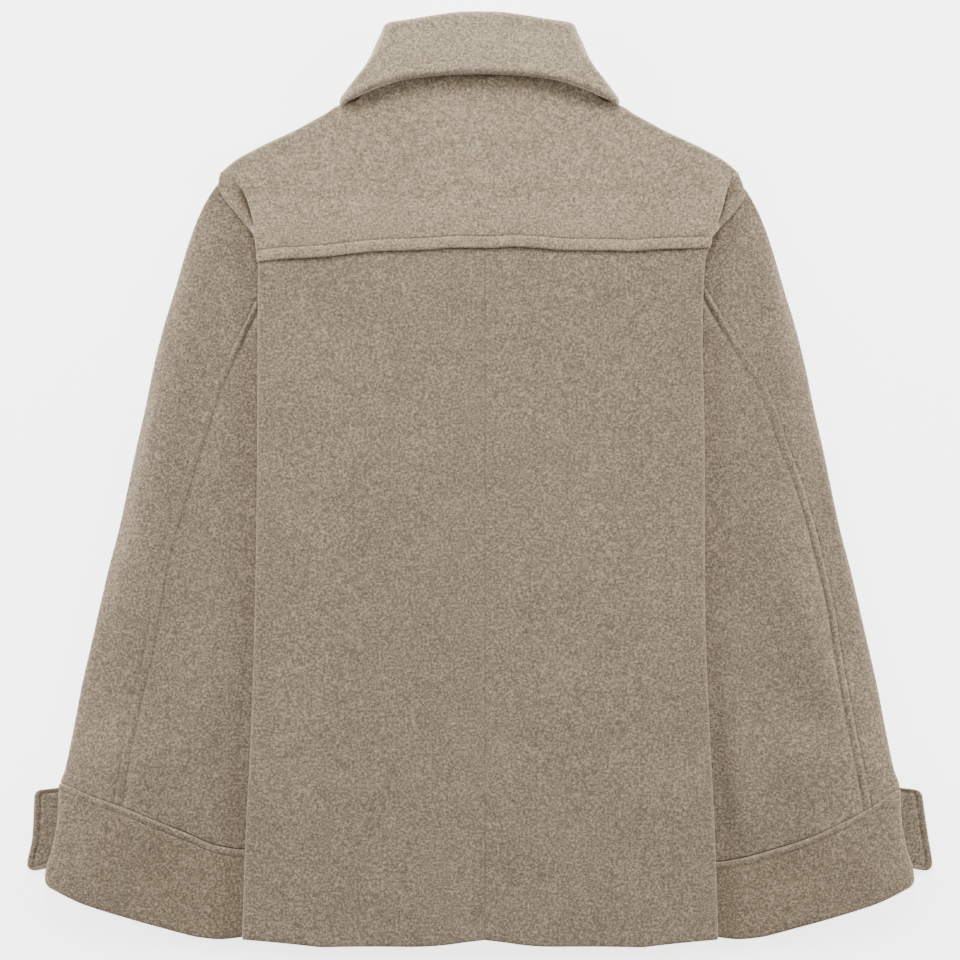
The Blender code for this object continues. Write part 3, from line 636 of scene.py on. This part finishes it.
def make_sleeve(side, material):
    """A sleeve's two panels, joined at the back seam above and at the front seam below."""
    hand = hand_of(side)
    down = (edge_steps(SLEEVE_RUN, 3.4) / SLEEVE_RUN)[:, None]
    seam = seam_shares(hand, down)
    sizes = (SLEEVE_LOW, SLEEVE_HIGH, SLEEVE_CROWN)
    under, over = round_shares(SLEEVE_WIDTH)
    gap = 0.03 / SLEEVE_WIDTH
    near = spaced(0, (0.6, 0.2), (5.1, 1.1), (8.3, 0.34), (12, 1.2))[::-1] / SLEEVE_WIDTH
    share = np.concatenate([np.linspace(FRONT_SEAM, 0.03, 40), under[::-1], [0.0]])
    below = tube_wall(sleeve_plan, share, down, hand, False, sizes)
    run = seam - gap - near[0] - over[-1]
    share = np.hstack([over + 0 * down, over[-1] + run * np.linspace(0, 1, 46)[1:],
                       seam - gap - near[1:]])
    above = tube_wall(sleeve_plan, share, down, hand, True, sizes)
    above[..., 2] += sleeve_relief(above, side, hand) * smooth(share * SLEEVE_WIDTH / 14)
    grid = np.concatenate([below, above], axis=1)
    from_seam = lengths(grid, 1)
    from_seam = from_seam[:, -1:] - from_seam
    relief = groove(from_seam - SLEEVE_STITCH, lengths(grid, 0), 0.45)
    relief = relief + 0.45 * np.exp(-((from_seam - 3.6) / 1.9) ** 2)
    relief = relief - 0.9 * np.exp(-(from_seam / 1.7) ** 2)
    finish_sleeve("sleeve_top", hand, side, grid, relief, material, (1.7, 0.6, 1.7, 1.7))
    turn = inner_shares(SLEEVE_WIDTH)
    near = spaced(0, (0.6, 0.2), (5.0, 1.1)) / SLEEVE_WIDTH
    run = turn[0] - seam - gap - near[-1]
    share = np.hstack([seam + gap + near, seam + gap + near[-1] + run * np.linspace(0, 1, 50)[1:],
                       turn[1:] + 0 * down, 1 + 0 * down])
    above = tube_wall(sleeve_plan, share, down, hand, True, sizes)
    above[..., 2] += sleeve_relief(above, side, hand)
    share = np.concatenate([turn[::-1], np.linspace(turn[0], FRONT_SEAM + 12 * gap, 18)[1:]])
    below = tube_wall(sleeve_plan, share, down, hand, False, sizes)
    grid = np.concatenate([above, below], axis=1)
    from_seam = lengths(grid, 1)
    relief = -1.1 * np.exp(-(from_seam / 2.7) ** 2)
    finish_sleeve("sleeve_under", hand, side, grid, relief, material, (0.6, 1.7, 1.7, 1.7))


def finish_sleeve(panel, hand, side, grid, relief, material, lips):
    """Turns a sleeve panel's grid into its piece on its own side of the coat."""
    grid = grid * np.array([side, 1, 1])
    name = f"{panel}_{hand}"
    piece = cloth_piece(f"{name}_cloth", grid, CLOTH, side, relief, lips=lips)
    wear(piece, name, material)
    declare_sheet(grid)


def make_cuff(side, material):
    """A cuff: a flattened ring of doubled cloth with a stitched upper edge."""
    hand = hand_of(side)
    down = (np.concatenate([spaced(0, (2.0, 0.4), (4.9, 1.0), (8.1, 0.36)),
                            8.1 + edge_steps(CUFF_RUN, 2.0)[5:] * 0.91]) / CUFF_RUN)[:, None]
    down = np.clip(down, 0, 1)
    low = CUFF_CLOTH / 2
    sizes = (low, low + CUFF_CLOTH + 2 * GAP, CUFF_CROWN)
    under, over = round_shares(CUFF_WIDTH, CUFF_ROLL)
    turn = inner_shares(CUFF_WIDTH, CUFF_ROLL)
    share = np.concatenate([over, np.linspace(over[-1], turn[0], 74)[1:-1], turn, [1.0]])
    above = tube_wall(cuff_plan, share, down, hand, True, sizes)
    above[..., 2] += sleeve_relief(above, side, hand) * smooth(share * CUFF_WIDTH / 14) * 0.7
    share = np.concatenate([turn[::-1], np.linspace(turn[0], 0.03, 50)[1:], under[::-1], [0.0]])
    below = tube_wall(cuff_plan, share, down, hand, False, sizes)
    grid = np.concatenate([above, below], axis=1)
    grid[:, :, 0] *= side
    run = lengths(grid, 0)
    relief = groove(run - CUFF_STITCH, lengths(grid, 1), 0.42)
    relief = relief + 0.32 * np.exp(-((run - 3.3) / 2.2) ** 2)
    relief = flat_below(relief, grid)
    name = f"cuff_{hand}"
    piece = cloth_piece(f"{name}_cloth", grid, CUFF_CLOTH, side, relief, True, (0, 0, 2.4, 2.2))
    wear(piece, name, material)
    declare_sheet(grid, True)


def make_tab(side, material):
    """A strap of doubled cloth: a plate with round corners at its free end, stitched round it."""
    hand = hand_of(side)
    low, high, inner, corner = -321.5, -257.0, 300.5, 5.5
    across = (edge_steps(high - low, 1.1, 2.0) + low)[:, None]
    from_edge = np.minimum(across - low, high - across)
    pull = corner * (1 - quarter(from_edge, corner))
    end = read(TAB_END, hand, across) - pull
    along = edge_steps(1.0, 0.012, 0.027)
    half = inner + (end - inner) * along
    fall = 2.4 + 2.8 * (high - across) / (high - low)
    y = across - fall * smooth((half - 345) / 28)
    swell = 0.25 * np.sin((half - 340) / 9.0) * smooth((half - 352) / 10)
    grid = stack(side * half, y, TAB_CLOTH / 2 + 0.02 + swell)
    run = lengths(grid, 1)
    rows = lengths(grid, 0)
    edge = np.minimum(run[:, -1:] - run, np.minimum(rows, rows[-1:] - rows))
    relief = groove(edge - 6, run + rows, 0.9) - 0.35 * smooth((edge - 5) / 3)
    name = f"cuff_tab_{hand}"
    piece = cloth_piece(f"{name}_cloth", grid, TAB_CLOTH - 0.1, side, relief, lips=(2, 2, 2, 2))
    wear(piece, name, material)
    declare_sheet(grid)


def collar_back(half, depth):
    """How far up the collar's back wall reaches, between its fold and its lower edge."""
    fold, edge = read(COLLAR_FOLD, "y", half, "half"), read(COLLAR_EDGE, "y", half, "half")
    return fold * (1 - depth) + edge * depth


def collar_wall(depth, inset, kind, part):
    """Points of one stretch of the collar: its front wall, its neck side or its back wall."""
    side_half = read(COLLAR_SIDE, "half", depth, "share") - COLLAR_LOW
    side_y = read(COLLAR_SIDE, "y", depth, "share")
    end_half = read(COLLAR_END, "half", depth, "share")
    end_y = read(COLLAR_END, "y", depth, "share")
    centre = COLLAR_LOW + COLLAR_RADIUS
    radius = COLLAR_RADIUS - inset
    bend = side_half - COLLAR_RADIUS
    if kind == "front":
        return stack(end_half + (bend - end_half) * part, end_y + (side_y - end_y) * part,
                     centre - radius + 0 * part)
    if kind == "side":
        angle = np.radians(180) * part
        ahead = (collar_back(bend, depth) - side_y) * (1 - np.sin(angle)) * (part > 0.5)
        return stack(bend + radius * np.sin(angle), side_y + ahead, centre - radius * np.cos(angle))
    half = bend * (1 - part)
    return stack(half, collar_back(half, depth), centre + radius + 0 * half)


def collar_ring(depths, inset, steps):
    """The collar from one front end round the neck to the other, for rows of depths and insets."""
    near = np.array([0, 0.006, 0.014, 0.025])
    walls = (("front", np.concatenate([near, np.linspace(0.04, 1, steps)[:-1]])),
             ("side", np.linspace(0, 1, 19)), ("back", np.linspace(0, 1, steps + 10)[1:]))
    half = np.concatenate([collar_wall(depths, inset, kind, part) for kind, part in walls], axis=1)
    return np.concatenate([half * np.array([-1, 1, 1]), half[:, -2::-1]], axis=1)


def make_collar(material):
    """The fall with its roll over the fold, and the stand inside it down to the neck seam."""
    depths = edge_steps(52.0, 0.9, 4.2)[4:] / 52
    depths = ((depths - depths[0]) / (1 - depths[0]))[:, None]
    lift = STAND_INSET / 2
    turns = np.radians(np.linspace(180, 15, 12))[:, None]
    fall = collar_ring(depths, 0, 30)
    roll = collar_ring(0 * turns, lift * (1 - np.cos(turns)), 30)
    roll[..., 1] += lift * np.sin(turns)
    tail = collar_ring(np.array([[0.06], [0.05], [0.04], [0.025]]), STAND_INSET, 30)
    grid = np.concatenate([tail, roll, fall])
    ahead = len(tail) + len(roll)
    fade = smooth(1 - (np.arange(len(grid)) - ahead) / 22)[:, None]
    grid[..., 1] -= (lift + TWO_PLY / 2) * fade
    x, y = grid[..., 0], grid[..., 1]
    above = smooth((grid[..., 2] - COLLAR_LOW - COLLAR_RADIUS) / 4)
    depth_of = np.concatenate([np.zeros(ahead), depths[:, 0]])[:, None]
    rolled = np.clip((depth_of - 0.91) / 0.09, 0, 1)
    curl = 5.0 * (1 - np.sqrt(1 - rolled ** 2)) * smooth((113 - np.abs(x)) / 22)
    puff = 7.2 * smooth(depth_of / 1.1) * (0.3 + 0.7 * smooth((116 - np.abs(x)) / 30))
    grid[..., 2] += above * (puff - curl + 0.35 * np.sin(x / 21.0 + 0.6) * depth_of ** 2
                             + 0.2 * np.sin(x / 9.0 + y / 14.0) * depth_of)
    run = lengths(grid, 0)
    from_edge = run[-1:] - run
    relief = 0.6 * np.exp(-((from_edge - 5.5) / 3) ** 2) - 0.3 * np.exp(-((from_edge - 11) / 3.5) ** 2)
    relief = flat_below(relief, grid)
    piece = cloth_piece("collar_fall_cloth", grid, TWO_PLY, -1, relief, lips=(2.4, 2.4, 1.7, 4.2))
    wear(piece, "collar_fall", material)
    declare_sheet(grid)
    make_stand(lift + TWO_PLY / 2, material)


def make_stand(drop, material):
    """The stand: a ring inside the fall, from below its roll down to the seam round the neck."""
    depths = np.linspace(0.12, 1.1, 197)[:, None]
    ring = collar_ring(depths, STAND_INSET, 24)
    low = COLLAR_LOW + STAND_INSET
    share = (ring[..., 2] - low) / (2 * (COLLAR_RADIUS - STAND_INSET))
    inside = np.minimum(np.abs(ring[..., 0]), NECK_HALF)
    front = read(FRONT_NECK, "y", inside, "half")
    seam = front + (read(BACK_NECK, "y", inside, "half") - front) * share + 6 * GAP
    below = ring[..., 1] < seam
    foot = np.where(below.any(axis=0), np.argmax(below, axis=0) - 1, len(depths) - 1)
    rows = (edge_steps(30.0, 2.5) / 30)[:, None]
    place = foot * rows
    index = np.floor(place).astype(int)
    part = (place - index)[..., None]
    columns = np.arange(ring.shape[1])
    after = np.minimum(index + 1, len(depths) - 1)
    grid = ring[index, columns] * (1 - part) + ring[after, columns] * part
    grid[..., 1] -= (drop + 2) * (1 - rows)
    piece = cloth_piece("collar_stand_cloth", grid, CLOTH, -1)
    wear(piece, "collar_stand", material)
    declare_sheet(grid)


def make_buttons(material):
    """Plain turned buttons: a rounded rim, a shallow dish and four holes sunk in it."""
    ring = np.linspace(0, 1, 26)[:, None]
    angle = np.linspace(0, 2 * np.pi, 65)[:-1]
    rim = np.sqrt(np.clip(1 - np.clip((ring - 0.88) / 0.12, 0, 1) ** 2, 0, 1))
    dish = 0.55 * (1 - smooth((ring - 0.62) / 0.16))
    x, y = BUTTON_RADIUS * ring * np.cos(angle), BUTTON_RADIUS * ring * np.sin(angle)
    holes = sum(np.exp(-(((x - a) ** 2 + (y - b) ** 2) / 1.1) ** 2)
                for a in (-2.1, 2.1) for b in (-2.1, 2.1))
    face = BUTTON_HEIGHT / 2 * rim - dish - 0.9 * holes
    index = np.arange(26 * 64).reshape(26, 64)
    index = np.hstack([index, index[:, :1]])
    quads = np.stack([index[:-1, :-1], index[:-1, 1:], index[1:, 1:], index[1:, :-1]], -1)
    quads = quads.reshape(-1, 4)
    for number, place in enumerate(BUTTON_PLACES, 1):
        lower = stack(x, y + place, BUTTON_HEIGHT / 2 - face).reshape(-1, 3)
        upper = stack(x, y + place, BUTTON_HEIGHT / 2 + BUTTON_HEIGHT / 2 * rim + 0 * x).reshape(-1, 3)
        faces = np.concatenate([quads, quads[:, ::-1] + len(lower)])
        name = f"front_button_{number}"
        piece = dressed(f"{name}_turned", np.concatenate([lower, upper]), faces)
        weld(piece)
        wear(piece, name, material)


def weld(piece):
    """Joins the points that meet, such as a turned shape's pole and rim."""
    mesh = bmesh.new()
    mesh.from_mesh(piece.data)
    bmesh.ops.remove_doubles(mesh, verts=mesh.verts, dist=1e-6)
    bmesh.ops.recalc_face_normals(mesh, faces=mesh.faces)
    mesh.to_mesh(piece.data)
    mesh.free()


def linear(code):
    """An sRGB hex colour as the linear colour that a shader takes."""
    parts = np.array([int(code[i:i + 2], 16) for i in (1, 3, 5)]) / 255
    return (*np.where(parts <= 0.04045, parts / 12.92, ((parts + 0.055) / 1.055) ** 2.4), 1.0)


def add(tree, kind, inputs=(), **settings):
    """Adds a node, sets its properties, and fills or links its inputs."""
    node = tree.nodes.new(kind)
    for key, value in settings.items():
        setattr(node, key, value)
    for key, value in dict(inputs).items():
        if isinstance(value, bpy.types.NodeSocket):
            tree.links.new(value, node.inputs[key])
        else:
            node.inputs[key].default_value = value
    return node


def wool_melton(name, dark, middle, pale):
    """Fulled wool melton in a beige grey mixture: pale and dark fibres felted together, so the
    eye sees a fine speckle with short fibre flecks, no weave, and a soft bloom at a low angle."""
    material = bpy.data.materials.new(name)
    material.use_nodes = True
    tree = material.node_tree
    shader = tree.nodes["Principled BSDF"]
    place = add(tree, "ShaderNodeTexCoord").outputs["Object"]
    # Speckle of felted fibre bundles about 2 mm across, with a finer grain in it
    grain = add(tree, "ShaderNodeTexNoise", {"Vector": place, "Scale": 500.0, "Detail": 4.0,
                                              "Roughness": 0.78})
    tones = add(tree, "ShaderNodeValToRGB", {"Fac": grain.outputs["Fac"]})
    ramp = tones.color_ramp
    ramp.elements[0].position = 0.355
    ramp.elements[0].color = linear(dark)
    ramp.elements[1].position = 0.645
    ramp.elements[1].color = linear(pale)
    ramp.elements.new(0.5).color = linear(middle)
    colour = tones.outputs["Color"]
    # Single fibres 4 mm long and 0.3 mm wide, pale one way and dark the other
    for turn, tint, amount in ((0.6, pale, 0.55), (-0.9, dark, 0.5), (2.2, pale, 0.45), (1.4, dark, 0.4)):
        laid = add(tree, "ShaderNodeMapping", {"Vector": place, "Rotation": (0.0, 0.0, turn),
                                                "Scale": (420.0, 2600.0, 900.0)})
        fibre = add(tree, "ShaderNodeTexNoise", {"Vector": laid.outputs["Vector"], "Scale": 1.0,
                                                  "Detail": 1.0})
        picked = add(tree, "ShaderNodeMapRange", {"Value": fibre.outputs["Fac"], "From Min": 0.6,
                                                   "From Max": 0.72, "To Max": amount})
        mix = add(tree, "ShaderNodeMix", data_type="RGBA")
        tree.links.new(picked.outputs["Result"], mix.inputs["Factor"])
        tree.links.new(colour, mix.inputs["A"])
        mix.inputs["B"].default_value = linear(tint)
        colour = mix.outputs["Result"]
    # Cloudiness over 8 mm, where fibres bunch, and over 60 mm, where the nap lies differently
    for scale, spread in ((125.0, 0.095), (16.0, 0.06)):
        cloud = add(tree, "ShaderNodeTexNoise", {"Vector": place, "Scale": scale, "Detail": 2.0})
        level = add(tree, "ShaderNodeMapRange", {"Value": cloud.outputs["Fac"], "From Min": 0.3,
                                                  "From Max": 0.7, "To Min": 1 - spread,
                                                  "To Max": 1 + spread})
        toned = add(tree, "ShaderNodeHueSaturation", {"Color": colour,
                                                       "Value": level.outputs["Result"]})
        colour = toned.outputs["Color"]
    tree.links.new(colour, shader.inputs["Base Color"])
    # Felted surface: fibre relief of about 0.2 mm
    fuzz = add(tree, "ShaderNodeTexNoise", {"Vector": place, "Scale": 900.0, "Detail": 4.0,
                                             "Roughness": 0.7})
    bump = add(tree, "ShaderNodeBump", {"Height": fuzz.outputs["Fac"], "Strength": 0.55,
                                         "Distance": 0.0006})
    tree.links.new(bump.outputs["Normal"], shader.inputs["Normal"])
    shader.inputs["Roughness"].default_value = 0.96
    shader.inputs["IOR"].default_value = 1.45
    shader.inputs["Specular IOR Level"].default_value = 0.15
    shader.inputs["Sheen Weight"].default_value = 0.35
    shader.inputs["Sheen Roughness"].default_value = 0.6
    shader.inputs["Sheen Tint"].default_value = linear("#E8DCCB")
    return material


def polished_horn():
    """Polished buffalo horn, cut and turned: dark brown with paler streaks and a satin gloss."""
    material = bpy.data.materials.new("buffalo horn, turned and polished")
    material.use_nodes = True
    tree = material.node_tree
    shader = tree.nodes["Principled BSDF"]
    place = add(tree, "ShaderNodeTexCoord").outputs["Object"]
    laid = add(tree, "ShaderNodeMapping", {"Vector": place, "Rotation": (0.0, 0.0, 0.5),
                                            "Scale": (60.0, 420.0, 60.0)})
    streak = add(tree, "ShaderNodeTexNoise", {"Vector": laid.outputs["Vector"], "Scale": 1.0,
                                               "Detail": 4.0})
    tones = add(tree, "ShaderNodeValToRGB", {"Fac": streak.outputs["Fac"]})
    ramp = tones.color_ramp
    ramp.elements[0].position = 0.35
    ramp.elements[0].color = linear("#2E2119")
    ramp.elements[1].position = 0.75
    ramp.elements[1].color = linear("#6B5038")
    tree.links.new(tones.outputs["Color"], shader.inputs["Base Color"])
    shader.inputs["Roughness"].default_value = 0.3
    shader.inputs["IOR"].default_value = 1.55
    return material


def make_studio():
    """A pale floor that glows a little, soft lights past the collar, on both sides and above, and an
    even fill from all round."""
    mesh = bpy.data.meshes.new("floor")
    mesh.from_pydata([(-6, -6, 0), (6, -6, 0), (6, 6, 0), (-6, 6, 0)], [], [(0, 1, 2, 3)])
    floor = bpy.data.objects.new("floor", mesh)
    floor.location.z = -0.0002
    bpy.context.scene.collection.objects.link(floor)
    paper = bpy.data.materials.new("white seamless paper")
    paper.use_nodes = True
    shader = paper.node_tree.nodes["Principled BSDF"]
    shader.inputs["Base Color"].default_value = (0.94, 0.94, 0.94, 1)
    shader.inputs["Roughness"].default_value = 0.9
    shader.inputs["Emission Color"].default_value = (1, 1, 1, 1)
    shader.inputs["Emission Strength"].default_value = 3.0
    mesh.materials.append(paper)
    for name, place, size, power in (("key", (0.0, 2.1, 1.25), 1.0, 104.0),
                                     ("left", (-2.25, 0.6, 0.72), 0.9, 119.0),
                                     ("right", (2.25, 0.6, 0.72), 0.9, 119.0),
                                     ("top", (0.0, -0.4, 2.9), 1.2, 12.0)):
        light = bpy.data.lights.new(name, "AREA")
        light.size = size
        light.energy = power
        lamp = bpy.data.objects.new(name, light)
        lamp.location = place
        lamp.rotation_mode = "QUATERNION"
        lamp.rotation_quaternion = (-Vector(place)).to_track_quat("-Z", "Y")
        bpy.context.scene.collection.objects.link(lamp)
    world = bpy.data.worlds.new("studio")
    world.use_nodes = True
    backdrop = world.node_tree.nodes["Background"]
    backdrop.inputs["Color"].default_value = (1, 1, 1, 1)
    backdrop.inputs["Strength"].default_value = 0.28
    bpy.context.scene.world = world


def make_camera():
    """A long lens straight above the coat, with 800 mm of it across the 960 pixels."""
    lens = bpy.data.cameras.new("camera")
    height = 2.6
    lens.sensor_width = 36.0
    lens.lens = 36.0 * (height - 0.009) / 0.8
    camera = bpy.data.objects.new("camera", lens)
    camera.location = (0.0004, -0.0004, height)
    bpy.context.scene.collection.objects.link(camera)
    bpy.context.scene.camera = camera


# The coat is one wool throughout, in the back's tones. The yoke's and the collar's copies are painted
# lighter, which is painted light for where the light falls on them, and the cuffs' copy is painted
# darker, which is painted shade; none of them is a different cloth.
back_wool = wool_melton("wool melton, fulled and brushed", "#3D3429", "#605444", "#8D7F6B")
yoke_wool_painted_lighter = wool_melton("wool melton painted lighter as lit, on the yoke", "#4B4133", "#706350", "#A0917B")
cuff_wool_painted_darker = wool_melton("wool melton painted darker as shaded, on the cuffs", "#3A3127", "#5D5140", "#887A66")
collar_wool_painted_lighter = wool_melton("wool melton painted lighter as lit, on the collar", "#4E4436", "#736653", "#A3947E")
make_studio()
make_camera()
make_yoke(yoke_wool_painted_lighter)
make_collar(collar_wool_painted_lighter)
make_buttons(polished_horn())
for side in (-1, 1):
    make_back(side, back_wool)
    make_front(side, back_wool)
    make_sleeve(side, back_wool)
    make_cuff(side, cuff_wool_painted_darker)
    make_tab(side, back_wool)
